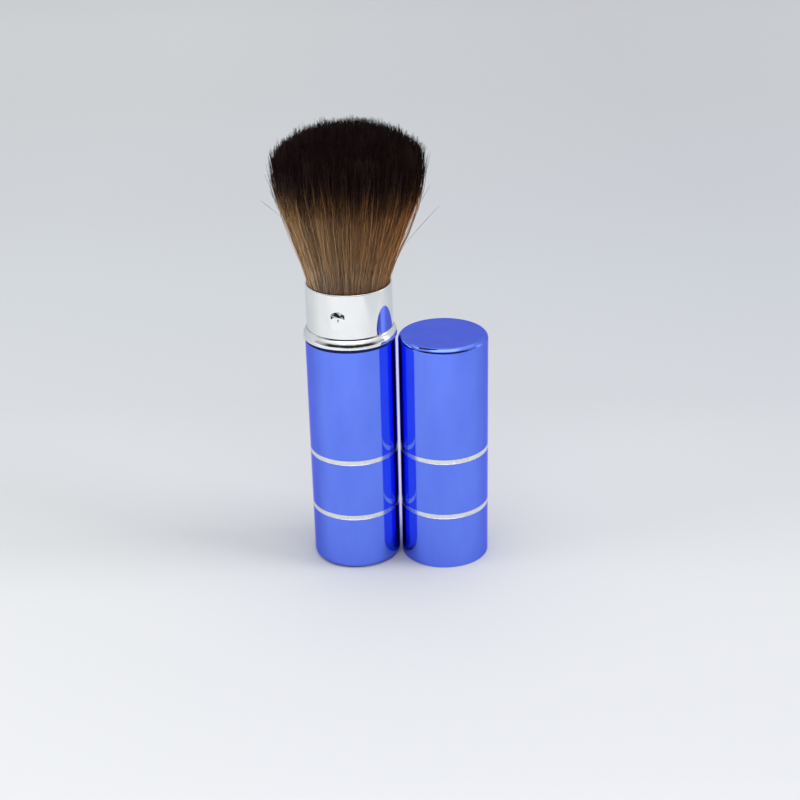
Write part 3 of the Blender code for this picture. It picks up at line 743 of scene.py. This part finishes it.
def hair_paths():
    """The hairs' paths, radii, shading places and root bearings."""
    rng = np.random.default_rng(RANDOM_SEED)
    spread, bearing = sunflower(HAIR_COUNT)
    shell = rng.random(HAIR_COUNT) < SHELL_SHARE
    spread = np.where(shell, SHELL_SPREAD + (1 - SHELL_SPREAD) * rng.random(HAIR_COUNT), spread)
    bearing = bearing + rng.normal(0, BEARING_JITTER, HAIR_COUNT)
    root = spread[:, None] * np.stack([np.cos(bearing), np.sin(bearing)], axis=1)

    tuft_spread, tuft_bearing = sunflower(TUFT_COUNT)
    tufts = tuft_spread[:, None] * np.stack([np.cos(tuft_bearing), np.sin(tuft_bearing)], axis=1)
    tufts += rng.normal(0, TUFT_JITTER, tufts.shape)
    apart = ((root[:, None, :] - tufts[None]) ** 2).sum(axis=2)
    nearest = np.argmin(apart, axis=1)
    off_middle = np.minimum(apart.min(axis=1) * TUFT_COUNT, MOST_OFF_MIDDLE)
    tuft_rise = rng.normal(0, TUFT_RAGGEDNESS, TUFT_COUNT)
    tuft_tone = rng.random(TUFT_COUNT)

    dome = np.maximum(1 - np.minimum(spread, 1) ** DOME_ROUND_EXPONENT, 0) ** (1 / DOME_RISE_EXPONENT)
    tip = RIM_Z + HEAD_SHOULDER_RISE + HEAD_DOME_RISE * dome + tuft_rise[nearest]
    tip -= TUFT_POINT * off_middle + TIP_RAGGEDNESS * rng.random(HAIR_COUNT) ** 2.0
    tip = np.minimum(tip, BRISTLE_TOP + TIP_OVERSHOOT)

    shares = np.array(STATION_SHARES)
    heights = RIM_Z + (tip - RIM_Z)[:, None] * shares[None, :]
    heights = np.concatenate([np.full((HAIR_COUNT, 1), ROOT_Z), heights], axis=1)
    way = np.clip((heights - RIM_Z) / (tip - RIM_Z)[:, None], 0, 1)
    outer = head_radius_at(heights)
    closing = np.clip((way - TUFT_START_SHARE) / (1 - TUFT_START_SHARE), 0, 1) ** TUFT_CLOSING_EXPONENT
    gather = TUFT_BODY_PULL * np.minimum(way * 4, 1) + (TUFT_PULL - TUFT_BODY_PULL) * closing
    flat = root[:, None, :] + (tufts[nearest] - root)[:, None, :] * gather[..., None]
    flat = flat * outer[..., None]
    phase = rng.random((HAIR_COUNT, 1)) * math.tau
    waves = FEWEST_WAVES + rng.random((HAIR_COUNT, 1)) * MORE_WAVES
    drift = rng.random(HAIR_COUNT) * math.tau
    sway = np.sin(phase + waves * way * math.tau) * WAVE_SIZE * way
    flat[..., 0] += sway * np.cos(drift)[:, None]
    flat[..., 1] += sway * np.sin(drift)[:, None]
    aside = rng.normal(0, CROSSING, HAIR_COUNT) * np.minimum(spread * 2, 1)
    sideways = np.stack([-np.sin(bearing), np.cos(bearing)], axis=1)
    flat += sideways[:, None, :] * (aside[:, None] * np.sin(way * math.pi * 0.6))[..., None]
    loose = (rng.random(HAIR_COUNT) < FLYAWAY_SHARE) & (spread > FLYAWAY_SPREAD)
    flyaway = loose * rng.random(HAIR_COUNT) * FLYAWAY_REACH
    bent = (rng.random(HAIR_COUNT) < BOWED_SHARE) & (spread > FLYAWAY_SPREAD)
    bowed = bent * rng.random(HAIR_COUNT) * BOWED_REACH
    outward = root / np.maximum(np.linalg.norm(root, axis=1, keepdims=True), 1e-6)
    sprung = flyaway[:, None] * way ** 3 + bowed[:, None] * np.sin(way * math.pi) ** 1.5
    flat += outward[:, None, :] * sprung[..., None]
    flat[..., 0] += HEAD_LEAN * np.clip(heights - RIM_Z, 0, None) / (HEAD_SHOULDER_RISE + HEAD_DOME_RISE)

    paths = np.concatenate([flat, heights[..., None]], axis=2)
    thickness = HAIR_RADIUS * (THINNEST_SHARE + THICKER_SHARE * rng.random(HAIR_COUNT))
    radii = thickness[:, None] * np.array(TAPER_SHARES)[None, :]
    own = OWN_TONE_SHARE * rng.random(HAIR_COUNT) + TUFT_TONE_SHARE * tuft_tone[nearest]
    # Painted light: the outer hairs are made lighter, so that the head's flanks look brighter.
    own = own + OUTER_PAINTED_LIGHT_SHARE * spread ** 2
    places = np.stack([
        (tip[:, None] - heights) * MM_PER_M,
        np.repeat(own[:, None], heights.shape[1], axis=1),
        (heights - RIM_Z) * MM_PER_M,
    ], axis=2)
    return paths, radii, places, np.arctan2(root[:, 1], root[:, 0])


def squeeze(obj):
    """Gives the piece its own copy of its mesh."""
    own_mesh(obj)


def make_bristles(material):
    """The hairs, in sectors, each with its own mesh."""
    paths, radii, places, bearings = hair_paths()
    sector_of = np.round(bearings / (math.tau / SECTORS)).astype(int) % SECTORS
    for sector in range(SECTORS):
        chosen = sector_of == sector
        obj = tubes_mesh(f"bristles_{sector:02d}", paths[chosen], radii[chosen], places[chosen], material)
        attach(obj, "handle")
        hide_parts("bristles")
        squeeze(obj)


def make_strays(material):
    """Single hairs that have sprung away from the head."""
    for number, (bearing, leave_z, leave_r, end_r, end_z) in enumerate(STRAYS):
        share = np.linspace(0, 1, STRAY_STATIONS)
        inner_z = np.linspace(ROOT_Z, leave_z, STRAY_STATIONS // 2, endpoint=False)
        inner_r = head_radius_at(inner_z) * leave_r / head_radius_at(np.array([leave_z]))[0]
        z = np.concatenate([inner_z, leave_z + (end_z - leave_z) * share])
        r = np.concatenate([inner_r, leave_r + (end_r - leave_r) * share ** STRAY_BEND_EXPONENT])
        path = np.stack([r * math.cos(bearing), r * math.sin(bearing), z], axis=1)[None]
        taper = np.interp(np.linspace(0, 1, len(z)), [0, 0.55, 0.8, 1], [0.5, 0.6, 1, 0.5])
        tone = np.full_like(z, STRAY_TONE)
        places = np.stack([(end_z - z) * MM_PER_M, tone, (z - RIM_Z) * MM_PER_M], axis=1)[None]
        obj = tubes_mesh(f"stray_hair_{number + 1}", path, (STRAY_RADIUS * taper)[None], places, material)
        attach(obj, "handle")
        squeeze(obj)


# Inner pieces, which keep their CAD shape

def finish_inner_pieces():
    plastic = inner_material("inner_plastic", (0.70, 0.70, 0.67), (0.82, 0.82, 0.79), 0.0, 0.38, 0.52, 220)
    metal = inner_material("ferrule_metal", (0.70, 0.70, 0.71), (0.84, 0.84, 0.84), 1.0, 0.22, 0.36, 260)
    rubber = inner_material("ring_rubber", (0.012, 0.012, 0.012), (0.030, 0.030, 0.030), 0.0, 0.60, 0.80, 500)
    resin = inner_material("resin", (0.42, 0.31, 0.13), (0.60, 0.48, 0.26), 0.0, 0.18, 0.34, 180)
    thread = inner_material("thread", (0.58, 0.53, 0.44), (0.76, 0.72, 0.64), 0.0, 0.75, 0.90, 1800)
    chosen = {
        "base_plug": plastic,
        "core_post": plastic,
        "sleeve_foot": plastic,
        "ferrule": metal,
        "friction_ring": rubber,
        "resin_plug": resin,
        "binding_thread": thread,
    }
    for node, material in chosen.items():
        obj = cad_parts[node]
        obj.data.materials.clear()
        obj.data.materials.append(material)


# Floor, light and camera

def make_floor():
    """A pale floor, painted a little darker with distance and towards the right as light falloff, and darker
    well to the right, outside the picture.
    """
    s = Shader("pale_floor")
    separate = s.node("ShaderNodeSeparateXYZ")
    s.join(s.place(), separate.inputs["Vector"])
    across, away = separate.outputs["X"], separate.outputs["Y"]
    # Painted light: the floor darkens with distance and slightly towards the right, standing for the light
    # falling off.
    shade = s.ramp(s.remap(away, FLOOR_NEAR, FLOOR_FAR, 0.0, 1.0), *FLOOR_STOPS)
    rightward = s.remap(across, -0.12, 0.14, 0.0, 1.0)
    slant = s.ramp(rightward, (0.0, (1.03, 1.03, 1.02)), (1.0, (0.93, 0.93, 0.94)))
    outward = s.math("SUBTRACT", across, s.math("MULTIPLY", away, FLOOR_DIM_SLANT))
    beside = s.remap(outward, FLOOR_DIM_START, FLOOR_DIM_END, 0.0, 1.0)
    dim = s.node("ShaderNodeMix", data_type="RGBA")
    s.join(beside, dim.inputs["Factor"])
    s.join(s.multiply(shade, slant), dim.inputs["A"])
    dim.inputs["B"].default_value = FLOOR_DIM_COLOUR
    s.join(dim.outputs["Result"], s.surface.inputs["Base Color"])
    grain = s.noise(900, detail=3)
    s.join(s.remap(grain, 0.3, 0.7, 0.62, 0.74), s.surface.inputs["Roughness"])
    s.join(s.bump(grain, 0.00001), s.surface.inputs["Normal"])
    s.set(Specular_IOR_Level=0.25)
    mesh = bpy.data.meshes.new("floor")
    side = FLOOR_HALF_SIDE
    corners = [(-side, -side, 0), (side, -side, 0), (side, side, 0), (-side, side, 0)]
    mesh.from_pydata(corners, [], [(0, 1, 2, 3)])
    mesh.materials.append(s.material)
    floor = bpy.data.objects.new("floor", mesh)
    bpy.context.scene.collection.objects.link(floor)


def make_world():
    """A pale studio with a bright ceiling, a bright panel on the right, greyer low sides and a dark front.

    The dark front is a room in the camera's direction. It gives the metal its dark lines.
    """
    world = bpy.data.worlds.new("studio")
    world.use_nodes = True
    bpy.context.scene.world = world
    tree = world.node_tree
    background = tree.nodes["Background"]

    def remap(value, low, high, smooth=True):
        node = tree.nodes.new("ShaderNodeMapRange")
        node.interpolation_type = "SMOOTHSTEP" if smooth else "LINEAR"
        node.inputs["From Min"].default_value = low
        node.inputs["From Max"].default_value = high
        tree.links.new(value, node.inputs["Value"])
        return node.outputs["Result"]

    def mix(factor, first, second):
        node = tree.nodes.new("ShaderNodeMix")
        node.data_type = "RGBA"
        tree.links.new(factor, node.inputs["Factor"])
        for socket, value in ((node.inputs["A"], first), (node.inputs["B"], second)):
            if isinstance(value, tuple):
                socket.default_value = (*value, 1.0)
            else:
                tree.links.new(value, socket)
        return node.outputs["Result"]

    def product(first, second):
        node = tree.nodes.new("ShaderNodeMath")
        node.operation = "MULTIPLY"
        tree.links.new(first, node.inputs[0])
        tree.links.new(second, node.inputs[1])
        return node.outputs["Value"]

    coordinates = tree.nodes.new("ShaderNodeTexCoord")
    separate = tree.nodes.new("ShaderNodeSeparateXYZ")
    tree.links.new(coordinates.outputs["Generated"], separate.inputs["Vector"])
    across, along, height = separate.outputs
    walls = mix(remap(along, -1.0, 1.0, smooth=False), WALL_SIDE_COLOUR, WALL_BACK_COLOUR)
    sides = product(remap(along, *SIDES_ALONG), remap(height, *SIDES_HEIGHT))
    room = mix(sides, walls, LOW_SIDE_COLOUR)
    dark = product(remap(along, *DARK_ALONG), remap(height, *DARK_HEIGHT))
    room = mix(dark, room, DARK_ROOM_COLOUR)
    panel = product(remap(across, *PANEL_ACROSS), remap(height, *PANEL_HEIGHT))
    panel = product(product(panel, remap(along, *PANEL_BACK_ALONG)), remap(along, *PANEL_FRONT_ALONG))
    room = mix(panel, room, PANEL_COLOUR)
    whole = mix(remap(height, *CEILING_HEIGHT), room, CEILING_COLOUR)
    tree.links.new(whole, background.inputs["Color"])
    background.inputs["Strength"].default_value = 1.0


def make_lamp(name, place, target, width, power, in_metal):
    """A square soft lamp that faces a point. It shows in reflections only where in_metal is true."""
    data = bpy.data.lights.new(name, "AREA")
    data.shape = "SQUARE"
    data.size = width
    data.energy = power
    lamp = bpy.data.objects.new(name, data)
    lamp.location = place
    lamp.visible_glossy = in_metal
    lamp.rotation_mode = "QUATERNION"
    lamp.rotation_quaternion = (Vector(target) - Vector(place)).to_track_quat("-Z", "Y")
    bpy.context.scene.collection.objects.link(lamp)


def make_camera():
    forward = (CAMERA_TARGET - CAMERA_PLACE).normalized()
    level_up = Vector((1, 0, 0)).cross(forward)
    right = Vector((1, 0, 0)) * math.cos(CAMERA_ROLL) + level_up * math.sin(CAMERA_ROLL)
    up = level_up * math.cos(CAMERA_ROLL) - Vector((1, 0, 0)) * math.sin(CAMERA_ROLL)
    turn = Matrix((right, up, -forward)).transposed()
    data = bpy.data.cameras.new("camera")
    data.sensor_width = SENSOR_MM
    data.lens = SENSOR_MM * FOCAL_PX / PICTURE_SIDE_PX
    data.clip_start = 0.01
    data.clip_end = 50
    camera = bpy.data.objects.new("camera", data)
    camera.matrix_world = Matrix.Translation(CAMERA_PLACE) @ turn.to_4x4()
    bpy.context.scene.collection.objects.link(camera)
    bpy.context.scene.camera = camera


make_camera()
make_floor()
make_world()
for lamp_settings in LAMPS:
    make_lamp(*lamp_settings)
bpy.context.scene.view_settings.view_transform = "Standard"

blue_metal = anodised_blue()
band_metal = cut_aluminium()
make_handle(blue_metal, band_metal, painted_seat_shade())
make_cap(blue_metal, band_metal)
make_collar(bright_metal("collar_bright", 0.000002, 0.000026))
make_sleeve(bright_metal("sleeve_bright", 0.000006, 0.0000008), torn_metal_and_shade())
hair = hair_material()
make_bristles(hair)
make_strays(hair)
finish_inner_pieces()
